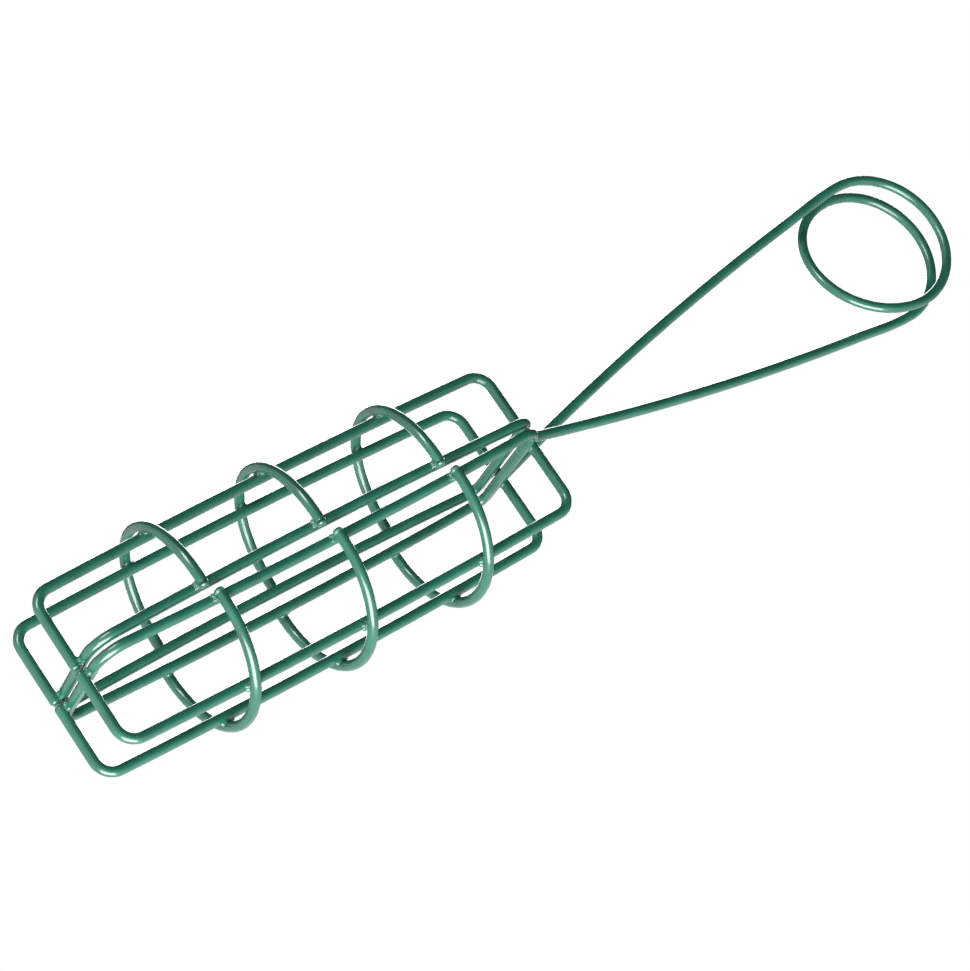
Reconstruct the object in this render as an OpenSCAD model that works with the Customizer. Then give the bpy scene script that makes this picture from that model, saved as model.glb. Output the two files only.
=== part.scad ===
// Squeeze-to-open hanging feeder for fat balls, bent and welded from coated wire.
// Hangs down -Z from its spring coil: +Z up, +Y to the rear, +X to the right.
// The origin is the middle of the hanging eye. All lengths in millimetres.

/* [Show] */
// node: the wire to draw, or all of them

/* [Wire] */
// wire_d: outside diameter of the coated wire
wire_d = 4; // [2.5:0.1:6]
// loop_low_bend_r: radius of a loop's lower corner bends, to the middle of the wire
loop_low_bend_r = 10; // [4:0.5:20]
// loop_top_bend_r: radius of a loop's upper corner bends, to the middle of the wire
loop_top_bend_r = 6; // [4:0.5:20]
// rail_bend_r: radius of a rail's corner bends, to the middle of the wire
rail_bend_r = 7; // [4:0.5:20]
// weld_sink: how far two crossing wires are pressed into each other at a weld
weld_sink = 0.4; // [0.1:0.1:1]

/* [Cage] */
// cage_len: height of the cage, between the middles of the rails' legs
cage_len = 200; // [120:1:300]
// loop_w: width of the flat loops at the split, to the middles of the wires
loop_w = 60; // [40:1:90]
// loop_gap: clear gap between the two loops
loop_gap = 0.9; // [0.3:0.1:3]
// rail_w: distance between the front and rear rails of one half
rail_w = 30.6; // [15:0.1:50]
// rail_reach: distance from the split to the middle of the rails
rail_reach = 30.5; // [15:0.1:45]
// bow: how far the long wires of the cage bow outwards at mid-height
bow = 1.3; // [0.5:0.1:3]
// cage_lean: degrees the cage leans to the left of the handle's middle line
cage_lean = 2; // [0:0.1:5]

/* [Rings] */
// ring_low_z: height of the lowest ring above the bottom legs
ring_low_z = 50.5; // [20:0.5:90]
// ring_mid_z: height of the middle ring above the bottom legs
ring_mid_z = 101.5; // [60:0.5:150]
// ring_top_z: height of the top ring above the bottom legs
ring_top_z = 155; // [100:0.5:190]
// ring_offset: distance from the split to the middle of a half ring
ring_offset = 4.6; // [0:0.1:12]
// left_ring_lean: degrees the left rings rise towards the rear
left_ring_lean = 4; // [-8:0.5:8]
// right_ring_lean: degrees the right rings rise towards the rear
right_ring_lean = -1.5; // [-8:0.5:8]

/* [Spring handle] */
// coil_r: radius of the spring coil, to the middle of the wire
coil_r = 29; // [15:0.5:50]
// coil_pitch: distance the coil steps to the rear in one turn
coil_pitch = 13.6; // [8:0.1:30]
// arm_len: drop from the middle of the coil to the rails' top legs
arm_len = 197; // [100:1:260]
// arm_lead: degrees an arm leans inwards where it leaves the coil
arm_lead = 4.3; // [1:0.1:20]
// arm_gap: gap between the end of the coil and an arm, which part as the jaws open
arm_gap = 0.3; // [0.3:0.05:1]

/* [Hidden] */
$fn = 64;
wire_r = wire_d / 2;
knuckle_r = wire_r + 0.05;
knuckle_gap = 0.1;
loop_x = wire_r + loop_gap / 2;
weld_step = wire_d - weld_sink;
loop_low_end = weld_step + loop_low_bend_r;
loop_top_end = cage_len - weld_step - loop_top_bend_r;
loop_middle = (loop_low_end + loop_top_end) / 2;
loop_straight = (loop_top_end - loop_low_end) / 2;
ring_r = norm([rail_reach - ring_offset, rail_w / 2]) + weld_step;
ring_over = asin((ring_offset - loop_gap / 2) / ring_r);
coil_tilt = atan(coil_pitch / (2 * coil_r));
coil_low_r = coil_r / cos(coil_tilt);
coil_gap = 360 * knuckle_gap / (2 * PI * coil_r);
arm_y = rail_w / 2 - weld_step;
arm_stop = 0.3;
arm_across = coil_r + loop_x;
arm_back = coil_pitch / 2 + arm_y;
arm_drop = arm_len + weld_step - arm_stop - arm_gap;
arm_side = atan(arm_back / arm_drop);
arm_run = norm([arm_drop, arm_back]);
arm_bow = atan(arm_across / arm_run) - arm_lead;
arm_bow_r = norm([arm_run, arm_across]) / (2 * sin(arm_bow));

// One bend of the wire: starts at the origin heading +Z and curls towards +X.
module bend(radius, angle) {
    translate([radius, 0, 0])
        rotate([90, 0, 0])
            mirror([1, 0, 0])
                rotate_extrude(angle = angle, $fn = 24 * 360 / min(angle, 90))
                    translate([radius, 0])
                        circle(d = wire_d, $fn = 64);
}

// A wire as a bending machine makes it. Each step is [feed, radius, angle]:
// feed the wire, then bend it round the radius.
module bent_wire(steps, i = 0) {
    if (i < len(steps)) {
        feed = steps[i][0];
        radius = steps[i][1];
        angle = steps[i][2];
        if (feed > 0) cylinder(h = feed, r = wire_r);
        translate([0, 0, feed]) {
            if (angle > 0) bend(radius, angle);
            translate([radius, 0, 0])
                rotate([0, angle, 0])
                    translate([-radius, 0, 0])
                        bent_wire(steps, i + 1);
        }
    }
}

// A long wire of the cage, bowed towards +X between two heights. A knuckle covers each end,
// where the bow meets the corner bend at a slight angle.
module long_wire(low_end, top_end) {
    half_len = (top_end - low_end) / 2;
    radius = (pow(half_len, 2) + pow(bow, 2)) / (2 * bow);
    half_angle = asin((half_len - knuckle_gap) / radius);
    translate([bow - radius, 0, (low_end + top_end) / 2])
        rotate([90, 0, 0])
            rotate([0, 0, -half_angle])
                rotate_extrude(angle = 2 * half_angle, $fn = 24 * 180 / half_angle)
                    translate([radius, 0])
                        circle(d = wire_d, $fn = 64);
    for (z = [low_end, top_end])
        translate([0, 0, z])
            sphere(r = knuckle_r);
}

// An end bar of a loop, between its two corner bends.
module end_bar(radius) {
    translate([0, -loop_w / 2, 0])
        rotate([0, 0, 90])
            bent_wire([[0, radius, 90], [loop_w - 2 * radius, radius, 90]]);
}

// The flat loop of one half: two long wires and an end bar above and below them.
module loop() {
    translate([loop_x, 0, 0]) {
        for (y = [-loop_w / 2, loop_w / 2])
            translate([0, y, 0])
                long_wire(loop_low_end, loop_top_end);
        translate([0, 0, loop_top_end])
            end_bar(loop_top_bend_r);
        translate([0, 0, loop_low_end])
            mirror([0, 0, 1])
                end_bar(loop_low_bend_r);
    }
}

// A U-shaped rail: a long wire, and a leg at each end that crosses over the loop's end bar
// and stops at the split.
module rail(y) {
    leg_len = rail_reach - rail_bend_r - loop_gap / 2;
    translate([rail_reach, y, 0]) {
        long_wire(rail_bend_r, cage_len - rail_bend_r);
        for (down = [0, 1])
            translate([0, 0, down ? rail_bend_r : cage_len - rail_bend_r])
                mirror([0, 0, down])
                    rotate([0, 0, 180])
                        bent_wire([[0, rail_bend_r, 90], [leg_len, 0, 0]]);
    }
}

// How far the long wires bow out at a height above the bottom legs.
function bow_at(z) = bow * (1 - pow((z - loop_middle) / loop_straight, 2));

// A half ring round the outside of the rails, its ends lying over the loop's long wires.
module half_ring(z, lean) {
    sweep = 180 + 2 * ring_over;
    translate([ring_offset + bow_at(z), 0, z])
        rotate([lean, 0, 0])
            rotate([0, 0, -sweep / 2])
                rotate_extrude(angle = sweep)
                    translate([ring_r, 0])
                        circle(d = wire_d);
}

// Puts a half of the cage under the handle; side is 1 for the right, -1 for the left.
module hang(side) {
    translate([0, 0, -arm_len])
        rotate([0, cage_lean, 0])
            translate([0, 0, -cage_len])
                mirror([side < 0 ? 1 : 0, 0, 0])
                    children();
}

// One arm of the handle, from the left front of the coil down to the right jaw.
module arm() {
    translate([-coil_r, -coil_pitch / 2, -arm_gap])
        rotate([180 + arm_side, 0, 0])
            rotate([0, arm_lead, 0])
                bend(arm_bow_r, 2 * arm_bow);
}

// The coil: half a turn over the top, half a turn to the rear below, half over the top.
// A knuckle covers each place where the winding changes direction.
module spring_coil() {
    color("seagreen") {
        for (turn = [0, 180])
            rotate([0, 0, turn]) {
                translate([-coil_r, -coil_pitch / 2, 0])
                    bend(coil_r, 180 - coil_gap);
                translate([coil_r, -coil_pitch / 2, 0])
                    sphere(r = knuckle_r);
            }
        rotate([0, 0, -coil_tilt])
            mirror([0, 0, 1])
                rotate([0, coil_gap, 0])
                    translate([-coil_low_r, 0, 0])
                        bend(coil_low_r, 180 - 2 * coil_gap);
    }
}

module right_jaw_arm() {
    color("seagreen") arm();
}

module left_jaw_arm() {
    color("seagreen") rotate([0, 0, 180]) arm();
}

module left_loop() {
    color("seagreen") hang(-1) loop();
}

module left_front_rail() {
    color("seagreen") hang(-1) rail(-rail_w / 2);
}

module left_rear_rail() {
    color("seagreen") hang(-1) rail(rail_w / 2);
}

module left_ring_low() {
    color("seagreen") hang(-1) half_ring(ring_low_z, left_ring_lean);
}

module left_ring_mid() {
    color("seagreen") hang(-1) half_ring(ring_mid_z, left_ring_lean);
}

module left_ring_top() {
    color("seagreen") hang(-1) half_ring(ring_top_z, left_ring_lean);
}

module right_loop() {
    color("seagreen") hang(1) loop();
}

module right_front_rail() {
    color("seagreen") hang(1) rail(-rail_w / 2);
}

module right_rear_rail() {
    color("seagreen") hang(1) rail(rail_w / 2);
}

module right_ring_low() {
    color("seagreen") hang(1) half_ring(ring_low_z, right_ring_lean);
}

module right_ring_mid() {
    color("seagreen") hang(1) half_ring(ring_mid_z, right_ring_lean);
}

module right_ring_top() {
    color("seagreen") hang(1) half_ring(ring_top_z, right_ring_lean);
}

spring_coil();
right_jaw_arm();
left_jaw_arm();
left_loop();
left_front_rail();
left_rear_rail();
left_ring_low();
left_ring_mid();
left_ring_top();
right_loop();
right_front_rail();
right_rear_rail();
right_ring_low();
right_ring_mid();
right_ring_top();
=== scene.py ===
"""Looks of the hanging feeder for fat balls: coated wire, its welds, and a pale studio.

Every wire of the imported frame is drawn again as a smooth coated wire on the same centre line,
and each weld gets the fillet and the small beads that the coating leaves between two wires.
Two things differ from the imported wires: the rear ends of the half rings stop a little short,
and each arm is eased into the coil's end, so that the two make one smooth wire.
"""

import itertools
import math
import random

import bpy
import numpy as np
from mathutils import Matrix, Vector


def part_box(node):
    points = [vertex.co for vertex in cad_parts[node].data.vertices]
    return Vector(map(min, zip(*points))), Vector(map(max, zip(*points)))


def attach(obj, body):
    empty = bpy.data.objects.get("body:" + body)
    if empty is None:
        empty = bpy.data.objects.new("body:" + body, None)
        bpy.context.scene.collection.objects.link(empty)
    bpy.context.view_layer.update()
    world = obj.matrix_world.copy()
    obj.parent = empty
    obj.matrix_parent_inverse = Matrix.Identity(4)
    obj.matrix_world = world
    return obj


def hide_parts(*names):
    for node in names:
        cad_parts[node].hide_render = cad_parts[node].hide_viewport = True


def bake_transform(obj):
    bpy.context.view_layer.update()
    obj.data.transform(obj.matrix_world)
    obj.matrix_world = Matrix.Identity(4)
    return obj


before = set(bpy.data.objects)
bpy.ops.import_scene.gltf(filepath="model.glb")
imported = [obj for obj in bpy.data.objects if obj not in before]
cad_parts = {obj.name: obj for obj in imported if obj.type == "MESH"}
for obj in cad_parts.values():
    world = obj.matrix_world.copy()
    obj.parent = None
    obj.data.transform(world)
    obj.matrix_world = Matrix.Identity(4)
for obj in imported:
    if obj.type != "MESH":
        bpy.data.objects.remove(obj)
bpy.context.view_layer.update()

# ---------------------------------------------------------------- sizes, in metres and degrees
MM = 0.001

# the part's own dimensions
WIRE_R = 2 * MM
LOOP_LOW_BEND_R = 10 * MM
LOOP_TOP_BEND_R = 6 * MM
RAIL_BEND_R = 7 * MM
CAGE_LEN = 200 * MM
LOOP_W = 60 * MM
HALF_GAP = 0.45 * MM
RAIL_W = 30.6 * MM
RAIL_REACH = 30.5 * MM
BOW = 1.3 * MM
CAGE_LEAN = 2
RING_Z = {"low": 50.5 * MM, "mid": 101.5 * MM, "top": 155 * MM}
RING_OFFSET = 4.6 * MM
RING_LEAN = {"left": 4, "right": -1.5}
COIL_R = 29 * MM
COIL_PITCH = 13.6 * MM
ARM_LEN = 197 * MM
ARM_LEAD = 4.3
ARM_STOP = 0.3 * MM

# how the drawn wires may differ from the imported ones
REAR_END_SHORT = 1.4 * MM
EASED_STEPS = 20  # steps of an arm's line that ease it into the coil
KEEPS_TO_FRAME = 0.35 * MM  # the most that a wire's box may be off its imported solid's box

# how finely the lines are drawn
ARM_STEPS = 130
BEND_STEPS = 20
HALF_TURN_STEPS = 72
RING_STEPS = 100
STRAIGHT_STEP = 1.5 * MM

SIDES = {"left": -1, "right": 1}
WELD_STEP = 2 * WIRE_R - 0.4 * MM
LOOP_X = WIRE_R + HALF_GAP
LOOP_ENDS = (WELD_STEP + LOOP_LOW_BEND_R, CAGE_LEN - WELD_STEP - LOOP_TOP_BEND_R)
RAIL_ENDS = (RAIL_BEND_R, CAGE_LEN - RAIL_BEND_R)
RING_R = math.hypot(RAIL_REACH - RING_OFFSET, RAIL_W / 2) + WELD_STEP


# ---------------------------------------------------------------- centre lines
def hang(points, side):
    """Points of one half cage, built standing on its bottom legs, moved to where it hangs."""
    p = np.array(points, float)
    if side < 0:
        p[:, 0] *= -1
    p[:, 2] -= CAGE_LEN
    lean = math.radians(CAGE_LEAN)
    x = p[:, 0] * math.cos(lean) + p[:, 2] * math.sin(lean)
    z = p[:, 2] * math.cos(lean) - p[:, 0] * math.sin(lean) - ARM_LEN
    return np.stack([x, p[:, 1], z], 1)


def arc(centre, u, v, radius, start, end, steps):
    """Points round an arc in the plane of the unit vectors u and v, angles in degrees."""
    angle = np.radians(np.linspace(start, end, steps + 1))[:, None]
    return np.array(centre) + radius * (np.cos(angle) * np.array(u) + np.sin(angle) * np.array(v))


def unit(v):
    return np.array(v, float) / np.linalg.norm(v)


def corner_arc(before, corner, after, radius):
    """The arc that rounds one corner of a line."""
    back = unit(before - corner)
    on = unit(after - corner)
    half = math.acos(np.clip(back @ on, -1, 1)) / 2
    centre = corner + unit(back + on) * radius / math.sin(half)
    start = unit(-on + back * (back @ on))
    return arc(centre, start, -back, radius, 0, 180 - math.degrees(2 * half), BEND_STEPS)


def spaced(points, closed):
    """Adds points along the straight stretches, so that no gap is much over STRAIGHT_STEP."""
    out = []
    ends = np.roll(points, -1, 0) if closed else points[1:]
    for a, b in zip(points, ends):
        cuts = max(1, round(np.linalg.norm(b - a) / STRAIGHT_STEP))
        out += [a + (b - a) * k / cuts for k in range(cuts)]
    if not closed:
        out.append(points[-1])
    return np.array(out)


def rounded(corners, radii, closed=False):
    """A line through corner points, with each bend of its own radius. An open line's ends stay."""
    c = [np.array(p, float) for p in corners]
    if closed:
        line = [corner_arc(c[i - 1], c[i], c[(i + 1) % len(c)], radii[i]) for i in range(len(c))]
    else:
        inner = [corner_arc(c[i - 1], c[i], c[i + 1], radii[i - 1]) for i in range(1, len(c) - 1)]
        line = [c[0][None]] + inner + [c[-1][None]]
    return spaced(np.concatenate(line), closed)


def bowed_out(z, ends):
    """How far a long wire that bows out between two heights does so at height z."""
    low, top = ends
    return BOW * (1 - np.clip((2 * z - low - top) / (top - low), -1, 1) ** 2)


def loop_line(side):
    x, y = LOOP_X, LOOP_W / 2
    low, high = WELD_STEP, CAGE_LEN - WELD_STEP
    corners = [(x, -y, low), (x, y, low), (x, y, high), (x, -y, high)]
    line = rounded(corners, [LOOP_LOW_BEND_R] * 2 + [LOOP_TOP_BEND_R] * 2, closed=True)
    line[:, 0] += bowed_out(line[:, 2], LOOP_ENDS)
    return hang(line, side)


def rail_line(side, y):
    end, x = HALF_GAP, RAIL_REACH
    corners = [(end, y, 0), (x, y, 0), (x, y, CAGE_LEN), (end, y, CAGE_LEN)]
    line = rounded(corners, [RAIL_BEND_R] * 2)
    line[:, 0] += bowed_out(line[:, 2], RAIL_ENDS)
    return hang(line, side)


def ring_line(side, level):
    z = RING_Z[level]
    lean = math.radians(RING_LEAN["left" if side < 0 else "right"])
    centre = (RING_OFFSET + bowed_out(z, LOOP_ENDS), 0, z)
    over = math.degrees(math.asin((RING_OFFSET - HALF_GAP) / RING_R))
    short = math.degrees(REAR_END_SHORT / RING_R)
    across = (0, math.cos(lean), math.sin(lean))
    line = arc(centre, (1, 0, 0), across, RING_R, -90 - over, 90 + over - short, RING_STEPS)
    return hang(line, side)


def coil_line():
    """Clockwise from the left front: over the top, to the rear below, over the top again."""
    x, z = (1, 0, 0), (0, 0, 1)
    front = arc((0, -COIL_PITCH / 2, 0), x, z, COIL_R, 180, 0, HALF_TURN_STEPS)
    across = np.array((COIL_R, -COIL_PITCH / 2, 0))
    low = arc((0, 0, 0), unit(across), z, np.linalg.norm(across), 0, -180, HALF_TURN_STEPS)
    rear = arc((0, COIL_PITCH / 2, 0), x, z, COIL_R, 180, 0, HALF_TURN_STEPS)
    return np.concatenate([front, low[1:-1], rear])


def arm_line(side):
    """From the coil's end, heading straight down, into the shallow bow to its own half cage.

    The first points follow a cubic that turns from straight down into the bow.
    """
    across = COIL_R + LOOP_X
    back = COIL_PITCH / 2 + RAIL_W / 2 - WELD_STEP
    drop = ARM_LEN + WELD_STEP - ARM_STOP
    run = math.hypot(drop, back)
    bow = math.degrees(math.atan(across / run)) - ARM_LEAD
    radius = math.hypot(run, across) / (2 * math.sin(math.radians(bow)))
    down = np.array([0, back, -drop]) / run
    lead = math.radians(ARM_LEAD)
    start = np.array([-COIL_R, -COIL_PITCH / 2, 0])
    centre = start + radius * (math.cos(lead) * np.array([1, 0, 0]) - math.sin(lead) * down)
    line = arc(centre, (-1, 0, 0), down, radius, ARM_LEAD, ARM_LEAD + 2 * bow, ARM_STEPS)
    eased = EASED_STEPS
    t = np.linspace(0, 1, eased + 1)[:, None]
    length = np.linalg.norm(line[eased] - line[0])
    head = np.array([0, 0, -length])
    tail = unit(line[eased + 1] - line[eased - 1]) * length
    line[: eased + 1] = (
        (2 * t**3 - 3 * t**2 + 1) * line[0]
        + (t**3 - 2 * t**2 + t) * head
        + (3 * t**2 - 2 * t**3) * line[eased]
        + (t**3 - t**2) * tail
    )
    return line if side > 0 else line * np.array([-1, -1, 1])


# ---------------------------------------------------------------- materials
def coating():
    """Glossy green coating, a little uneven in colour and gloss as dipped wire is."""
    material = bpy.data.materials.new("green_coating_gloss")
    material.use_nodes = True
    nodes, links = material.node_tree.nodes, material.node_tree.links
    shader = nodes["Principled BSDF"]
    where = nodes.new("ShaderNodeTexCoord")
    clouds = nodes.new("ShaderNodeTexNoise")
    clouds.inputs["Scale"].default_value = 120
    clouds.inputs["Detail"].default_value = 5
    tint = nodes.new("ShaderNodeValToRGB")
    tint.color_ramp.elements[0].position = 0.3
    tint.color_ramp.elements[0].color = (0.009, 0.094, 0.060, 1)
    tint.color_ramp.elements[1].position = 0.7
    tint.color_ramp.elements[1].color = (0.014, 0.132, 0.086, 1)
    links.new(where.outputs["Object"], clouds.inputs["Vector"])
    links.new(clouds.outputs["Fac"], tint.inputs["Fac"])
    links.new(tint.outputs["Color"], shader.inputs["Base Color"])
    gloss = nodes.new("ShaderNodeMapRange")
    gloss.inputs["To Min"].default_value = 0.24
    gloss.inputs["To Max"].default_value = 0.34
    links.new(clouds.outputs["Fac"], gloss.inputs["Value"])
    links.new(gloss.outputs["Result"], shader.inputs["Roughness"])
    peel = nodes.new("ShaderNodeTexNoise")
    peel.inputs["Scale"].default_value = 240
    peel.inputs["Detail"].default_value = 3
    bump = nodes.new("ShaderNodeBump")
    bump.inputs["Strength"].default_value = 0.035
    bump.inputs["Distance"].default_value = 0.0002
    links.new(where.outputs["Object"], peel.inputs["Vector"])
    links.new(peel.outputs["Fac"], bump.inputs["Height"])
    links.new(bump.outputs["Normal"], shader.inputs["Normal"])
    shader.inputs["IOR"].default_value = 1.58
    shader.inputs["Coat Weight"].default_value = 0.8
    shader.inputs["Coat Roughness"].default_value = 0.08
    return material


GREEN_COATING = coating()


def mesh_piece(name, verts, faces):
    """A smooth-shaded mesh in the green coating."""
    mesh = bpy.data.meshes.new(name)
    mesh.from_pydata([tuple(v) for v in verts], [], [tuple(int(i) for i in f) for f in faces])
    mesh.validate()
    mesh.shade_smooth()
    piece = bpy.data.objects.new(name, mesh)
    bpy.context.scene.collection.objects.link(piece)
    piece.data.materials.append(GREEN_COATING)
    return piece


# ---------------------------------------------------------------- wires as meshes
EDGE_R = 1.2 * MM  # how far the coating rounds the rim of a cut end
EDGE_STEPS = 8
SIDE_COUNT = 32
SWING = 0.008  # share of the radius that the coating swings by
DIP_WAVES = ((31, 0.35), (17, 0.4), (7.3, 0.25))  # wavelength in mm and share of the swing
FADE_POINTS = 8  # the swing fades out over this many points at a wire's ends
FIRST_ACROSS = (0.31, 0.87, 0.38)  # not along any wire's first direction


def thickness(points, name):
    """The coated radius along an open wire: dipping leaves it very slightly uneven."""
    rng = random.Random(name)
    gaps = np.linalg.norm(np.diff(points, axis=0, prepend=points[:1]), axis=1)
    run = np.cumsum(gaps) / MM
    swing = np.zeros(len(points))
    for wave, share in DIP_WAVES:
        swing += share * np.sin(2 * np.pi * run / wave + rng.uniform(0, 6.28))
    order = np.arange(len(points))
    fade = np.clip(np.minimum(order, order[::-1]) / FADE_POINTS, 0, 1)
    return WIRE_R * (1 + SWING * swing * fade)


def round_end(point, outward, radius):
    """Centres and radii that round off a cut end, from the full radius to the end face."""
    turn = np.radians(np.linspace(0, 88, EDGE_STEPS))
    centres = [point + outward * EDGE_R * (math.sin(t) - 1) for t in turn]
    return centres, [radius - EDGE_R * (1 - math.cos(t)) for t in turn]


def tube(name, line, closed=False, round_start=True, round_tail=True):
    """A smooth coated wire along a centre line. An open end is rounded, or left flat at a join."""
    p = np.array(line, float)
    if closed:
        ahead = np.roll(p, -1, 0) - np.roll(p, 1, 0)
    else:
        ahead = np.gradient(p, axis=0, edge_order=2)
    ahead /= np.linalg.norm(ahead, axis=1)[:, None]
    radius = np.full(len(p), WIRE_R) if closed else thickness(p, name)
    if round_start:
        centres, radii = round_end(p[0], -ahead[0], WIRE_R)
        p = np.concatenate([centres[::-1], p[1:]])
        radius = np.concatenate([radii[::-1], radius[1:]])
        ahead = np.concatenate([[ahead[0]] * len(radii), ahead[1:]])
    if round_tail:
        centres, radii = round_end(p[-1], ahead[-1], WIRE_R)
        p = np.concatenate([p[:-1], centres])
        radius = np.concatenate([radius[:-1], radii])
        ahead = np.concatenate([ahead[:-1], [ahead[-1]] * len(radii)])
    angle = np.linspace(0, 2 * np.pi, SIDE_COUNT, endpoint=False)[:, None]
    across = np.cross(ahead[0], FIRST_ACROSS)
    rings = []
    for centre, along, r in zip(p, ahead, radius):
        across = unit(across - along * (across @ along))
        rings.append(centre + r * (np.cos(angle) * across + np.sin(angle) * np.cross(along, across)))
    faces = []
    for i in range(len(p) if closed else len(p) - 1):
        j = (i + 1) % len(p)
        # where a closed wire meets its start, the nearest corner of the first ring joins on
        turn = int(np.argmin(np.linalg.norm(rings[0] - rings[-1][0], axis=1))) if j == 0 else 0
        here, there = i * SIDE_COUNT, j * SIDE_COUNT
        for k in range(SIDE_COUNT):
            beside = (k + 1) % SIDE_COUNT
            facing = (k + turn) % SIDE_COUNT
            facing_beside = (k + 1 + turn) % SIDE_COUNT
            faces.append((here + k, here + beside, there + facing_beside, there + facing))
    if not closed:
        faces.append(tuple(range(SIDE_COUNT))[::-1])
        faces.append(tuple((len(p) - 1) * SIDE_COUNT + k for k in range(SIDE_COUNT)))
    piece = mesh_piece(name, np.concatenate(rings), faces)
    caps = [] if closed else list(piece.data.polygons)[-2:]
    rims = {key for cap in caps for key in cap.edge_keys}
    for edge in piece.data.edges:
        edge.use_edge_sharp = edge.key in rims
    return piece


# ---------------------------------------------------------------- welds as meshes
WELD_REACH = 4.4 * MM
FAR = 1000 * MM  # much further than any weld reaches
WELD_CELL = 0.22 * MM
FILLET = 1.5 * MM
BEAD_R = 0.85 * MM
BEAD_FILLET = 0.5 * MM
BEAD_SIZES = (0.75, 1.1)  # smallest and largest share of BEAD_R
BEAD_ALONG = (1.9, 2.3)  # mm from the weld's middle, along the first wire
BEAD_ACROSS = (0.7, 1.2)  # mm from the weld's middle, along the second wire
UNDER_SKIN = 0.06 * MM  # a weld lies this far inside the wires, so that only its fillet shows


def wire_distance(points, line, closed):
    """Signed distance from points to the surface of a coated wire with rounded cut ends."""
    near = np.linalg.norm(line - points.mean(0), axis=1) < 3 * WELD_REACH
    best = np.full(len(points), FAR)
    ends = np.roll(line, -1, 0) if closed else line[1:]
    for a, b, used in zip(line, ends, near):
        if used:
            t = np.clip((points - a) @ (b - a) / ((b - a) @ (b - a)), 0, 1)
            best = np.minimum(best, np.linalg.norm(points - a - t[:, None] * (b - a), axis=1))
    best -= WIRE_R
    if not closed:
        for at, inner in ((0, 1), (-1, -2)):
            if near[at]:
                end = line[at]
                outward = end - line[inner]
                side = best + EDGE_R
                face = (points - end) @ unit(outward) + EDGE_R
                past = np.hypot(np.maximum(side, 0), np.maximum(face, 0)) - EDGE_R
                best = np.minimum(np.maximum(side, face), 0) + past
    return best


def melt(a, b, reach):
    """The union of two distances with a fillet between them."""
    share = np.clip(0.5 + 0.5 * (b - a) / reach, 0, 1)
    return b + (a - b) * share - reach * share * (1 - share)


def surface_net(values, origin, cell):
    """A closed mesh of the surface where values cross zero on a grid: inside is negative.

    Each grid cell that the surface passes through gets one point, the mean of its crossings.
    """
    inside = values < 0
    corners = list(itertools.product((0, 1), repeat=3))
    edges = [(a, b) for a in corners for b in corners if a < b and np.abs(np.subtract(a, b)).sum() == 1]
    shape = tuple(n - 1 for n in values.shape)

    def part(grid, c):
        return grid[c[0] : c[0] + shape[0], c[1] : c[1] + shape[1], c[2] : c[2] + shape[2]]

    total = np.zeros(shape + (3,))
    count = np.zeros(shape)
    for a, b in edges:
        va, vb = part(values, a), part(values, b)
        crosses = part(inside, a) != part(inside, b)
        t = np.where(crosses, va / np.where(va == vb, 1, va - vb), 0)
        for axis in range(3):
            total[..., axis] += np.where(crosses, a[axis] + t * (b[axis] - a[axis]), 0)
        count += crosses
    used = count > 0
    index = np.full(shape, -1)
    index[used] = np.arange(used.sum())
    where = np.argwhere(used) + total[used] / count[used][:, None]
    faces = []
    for axis in range(3):
        u, v = (axis + 1) % 3, (axis + 2) % 3
        step = np.eye(3, dtype=int)
        first = inside[tuple(slice(0, -1) if n == axis else slice(None) for n in range(3))]
        second = inside[tuple(slice(1, None) if n == axis else slice(None) for n in range(3))]
        for cell_at in np.argwhere(first != second):
            if cell_at[u] == 0 or cell_at[v] == 0:
                continue
            around = [cell_at - step[u] - step[v], cell_at - step[v], cell_at, cell_at - step[u]]
            face = [index[tuple(c)] for c in around]
            faces.append(face if first[tuple(cell_at)] else face[::-1])
    return origin + where * cell, faces


def contact(line_a, line_b):
    """Where two centre lines come closest: the middle, and each one's direction there."""
    gaps = np.linalg.norm(line_a[:, None] - line_b[None], axis=2)
    i, j = np.unravel_index(np.argmin(gaps), gaps.shape)
    i, j = min(max(i, 1), len(line_a) - 2), min(max(j, 1), len(line_b) - 2)
    along_a, along_b = unit(line_a[i + 1] - line_a[i - 1]), unit(line_b[j + 1] - line_b[j - 1])
    return (line_a[i] + line_b[j]) / 2, along_a, along_b


def weld(name, first, second, body):
    """The fillet and beads where wire first crosses wire second; each is (line, closed)."""
    rng = random.Random(name)
    centre, along, across = contact(first[0], second[0])
    cells = int(2 * WELD_REACH / WELD_CELL) + 3
    origin = centre - (cells - 1) / 2 * WELD_CELL
    steps = np.stack(np.meshgrid(*[np.arange(cells)] * 3, indexing="ij"), -1)
    grid = steps.reshape(-1, 3) * WELD_CELL + origin
    shape = melt(wire_distance(grid, *first), wire_distance(grid, *second), FILLET)
    for sx in (-1, 1):
        for sy in (-1, 1):
            spot = centre + along * sx * rng.uniform(*BEAD_ALONG) * MM
            spot = spot + across * sy * rng.uniform(*BEAD_ACROSS) * MM
            bead = np.linalg.norm(grid - spot, axis=1) - BEAD_R * rng.uniform(*BEAD_SIZES)
            shape = melt(shape, bead, BEAD_FILLET)
    shape = np.maximum(shape + UNDER_SKIN, np.linalg.norm(grid - centre, axis=1) - WELD_REACH)
    verts, faces = surface_net(shape.reshape([cells] * 3), origin, WELD_CELL)
    piece = mesh_piece(name, verts, faces)
    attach(piece, body)


# ---------------------------------------------------------------- the object, on its bodies
ARM_WELD_POINTS = 30  # last points of an arm's line, where its weld is looked for


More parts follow.
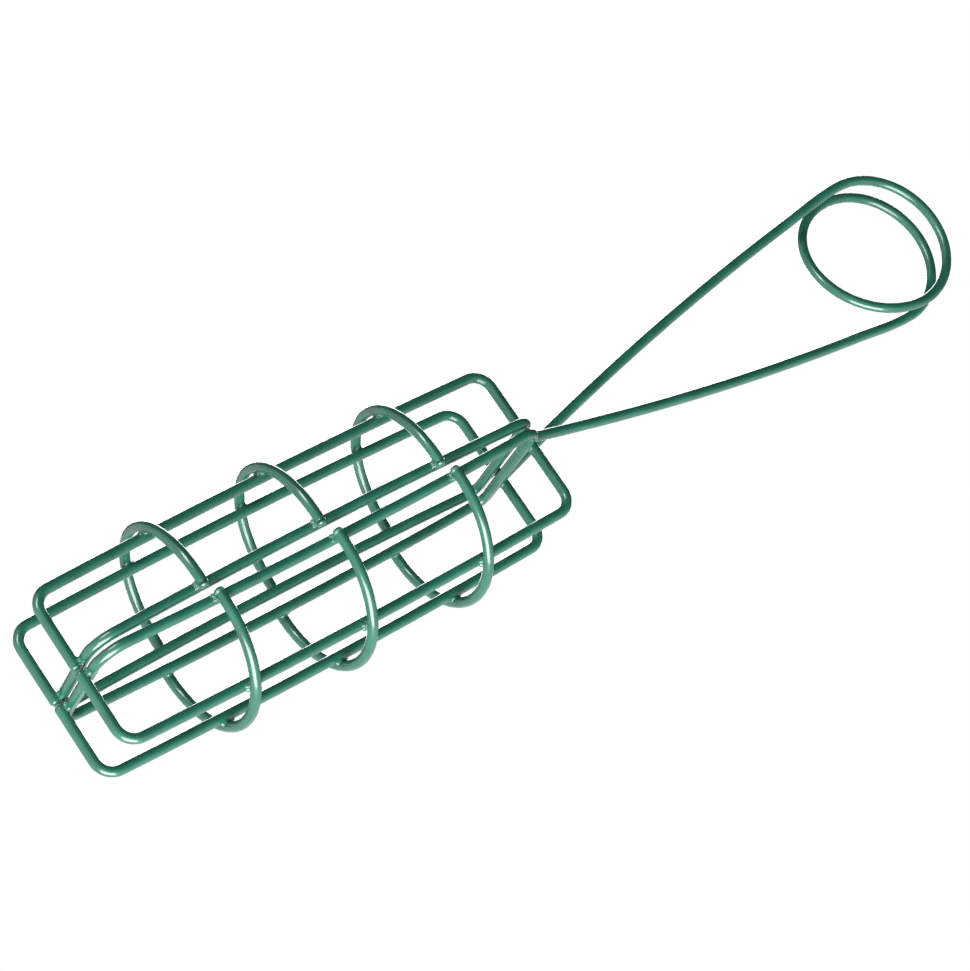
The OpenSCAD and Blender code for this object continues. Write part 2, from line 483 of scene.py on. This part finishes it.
def wire(node, line, body=None, **how):
    """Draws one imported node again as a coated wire, and stops if its box has left its place."""
    piece = tube(node + "_coated", line, **how)
    low, high = (np.array(corner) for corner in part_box(node))
    drawn = np.array([v.co for v in piece.data.vertices])
    off = max(abs(drawn.min(0) - low).max(), abs(drawn.max(0) - high).max())
    if off > KEEPS_TO_FRAME:
        raise ValueError(f"{node} is drawn {off / MM:.2f} mm away from its packed place")
    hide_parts(node)
    if body:
        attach(piece, body)
    return piece


def half_cage(name, side):
    """One jaw: its loop, rails, rings and arm, with a weld wherever two of them cross."""
    jaw = name + "_jaw"
    loop = (loop_line(side), True)
    rails = {
        "front": (rail_line(side, -RAIL_W / 2), False),
        "rear": (rail_line(side, RAIL_W / 2), False),
    }
    wire(name + "_loop", loop[0], jaw, closed=True, round_start=False, round_tail=False)
    for place, rail in rails.items():
        wire(f"{name}_{place}_rail", rail[0], jaw)
        middle = len(rail[0]) // 2
        weld(f"{name}_{place}_leg_weld_low", loop, (rail[0][:middle], False), jaw)
        weld(f"{name}_{place}_leg_weld_top", loop, (rail[0][middle:], False), jaw)
    for level in RING_Z:
        ring = (ring_line(side, level), False)
        wire(f"{name}_ring_{level}", ring[0], jaw)
        middle = len(ring[0]) // 2
        for place, part in (("front", ring[0][: middle + 1]), ("rear", ring[0][middle:])):
            weld(f"{name}_ring_{level}_{place}_loop_weld", loop, (part, False), jaw)
            weld(f"{name}_ring_{level}_{place}_rail_weld", rails[place], (part, False), jaw)
    line = arm_line(side)
    arm = wire(name + "_jaw_arm", line, round_start=False)
    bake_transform(arm)
    weld(name + "_arm_weld", loop, (line[-ARM_WELD_POINTS:], False), jaw)


# ---------------------------------------------------------------- camera and studio
RIGHT = Vector((0.5813, -0.335, 0.7415))
UP = Vector((-0.7933, -0.4359, 0.425))
BACK = RIGHT.cross(UP).normalized()
CAMERA_PLACE = (0.223, -1.0114, -0.8427)
LENS = 121.96
SENSOR = 36
LIT_MIDDLE = Vector((0, 0, -0.19))
FLOOR_Z = -1.9
FLOOR_SIZE = 30


def camera():
    """A view of the front from below, turned so that the handle points to the upper right."""
    view = bpy.data.objects.new("view", bpy.data.cameras.new("view"))
    bpy.context.scene.collection.objects.link(view)
    turn = Matrix((RIGHT, UP, BACK)).transposed().to_4x4()
    view.matrix_world = Matrix.Translation(CAMERA_PLACE) @ turn
    view.data.sensor_width = SENSOR
    view.data.sensor_fit = "HORIZONTAL"
    view.data.lens = LENS
    bpy.context.scene.camera = view


def studio():
    """Seen directly the room is white. What lights the wire fades from a bright side to a dim one."""
    bpy.context.scene.view_settings.view_transform = "Standard"
    world = bpy.data.worlds.new("studio")
    bpy.context.scene.world = world
    world.use_nodes = True
    nodes, links = world.node_tree.nodes, world.node_tree.links
    shown = nodes["Background"]
    shown.inputs["Color"].default_value = (1, 1, 1, 1)
    where = nodes.new("ShaderNodeTexCoord")
    toward = nodes.new("ShaderNodeVectorMath")
    toward.operation = "DOT_PRODUCT"
    toward.inputs[1].default_value = (RIGHT * 0.05 - UP * 0.95 + BACK * 0.1).normalized()
    ramp = nodes.new("ShaderNodeMapRange")
    ramp.interpolation_type = "SMOOTHSTEP"
    ramp.inputs["From Min"].default_value = -0.2
    ramp.inputs["From Max"].default_value = 0.6
    ramp.inputs["To Min"].default_value = 0.08
    ramp.inputs["To Max"].default_value = 1.1
    lit = nodes.new("ShaderNodeBackground")
    links.new(where.outputs["Generated"], toward.inputs[0])
    links.new(toward.outputs["Value"], ramp.inputs["Value"])
    links.new(ramp.outputs["Result"], lit.inputs["Strength"])
    path = nodes.new("ShaderNodeLightPath")
    pick = nodes.new("ShaderNodeMixShader")
    links.new(path.outputs["Is Camera Ray"], pick.inputs["Fac"])
    links.new(lit.outputs["Background"], pick.inputs[1])
    links.new(shown.outputs["Background"], pick.inputs[2])
    links.new(pick.outputs["Shader"], nodes["World Output"].inputs["Surface"])


def soft_light(name, direction, distance, width, length, power):
    """A rectangular soft light aimed at the middle of the feeder."""
    light = bpy.data.objects.new(name, bpy.data.lights.new(name, "AREA"))
    bpy.context.scene.collection.objects.link(light)
    light.data.shape = "RECTANGLE"
    light.data.size = width
    light.data.size_y = length
    light.data.energy = power
    light.visible_camera = False
    light.location = LIT_MIDDLE + direction.normalized() * distance
    light.rotation_mode = "QUATERNION"
    light.rotation_quaternion = direction.to_track_quat("Z", "Y")


def floor():
    """A wide pale floor, well below where the feeder hangs."""
    bpy.ops.mesh.primitive_grid_add(
        x_subdivisions=8, y_subdivisions=8, size=FLOOR_SIZE, location=(0, 0, FLOOR_Z)
    )
    ground = bpy.context.object
    ground.name = "floor"
    paint = bpy.data.materials.new("pale_floor")
    paint.use_nodes = True
    shader = paint.node_tree.nodes["Principled BSDF"]
    shader.inputs["Base Color"].default_value = (0.85, 0.85, 0.85, 1)
    shader.inputs["Roughness"].default_value = 0.9
    shader.inputs["Emission Color"].default_value = (1, 1, 1, 1)
    shader.inputs["Emission Strength"].default_value = 0.4
    ground.data.materials.append(paint)


camera()
studio()
soft_light("key", RIGHT * 0.05 - UP * 0.75 + BACK * 0.65, 1.4, 1.2, 1.2, 45)
soft_light("rim", RIGHT * -0.6 + UP * 0.75 + BACK * 0.9, 1.4, 0.25, 0.7, 7)
soft_light("rear", Vector((-0.5, 1, 0.7)), 1.8, 1.2, 1.2, 26)
floor()

wire("spring_coil", coil_line(), "coil", round_start=False, round_tail=False)
for name, side in SIDES.items():
    half_cage(name, side)
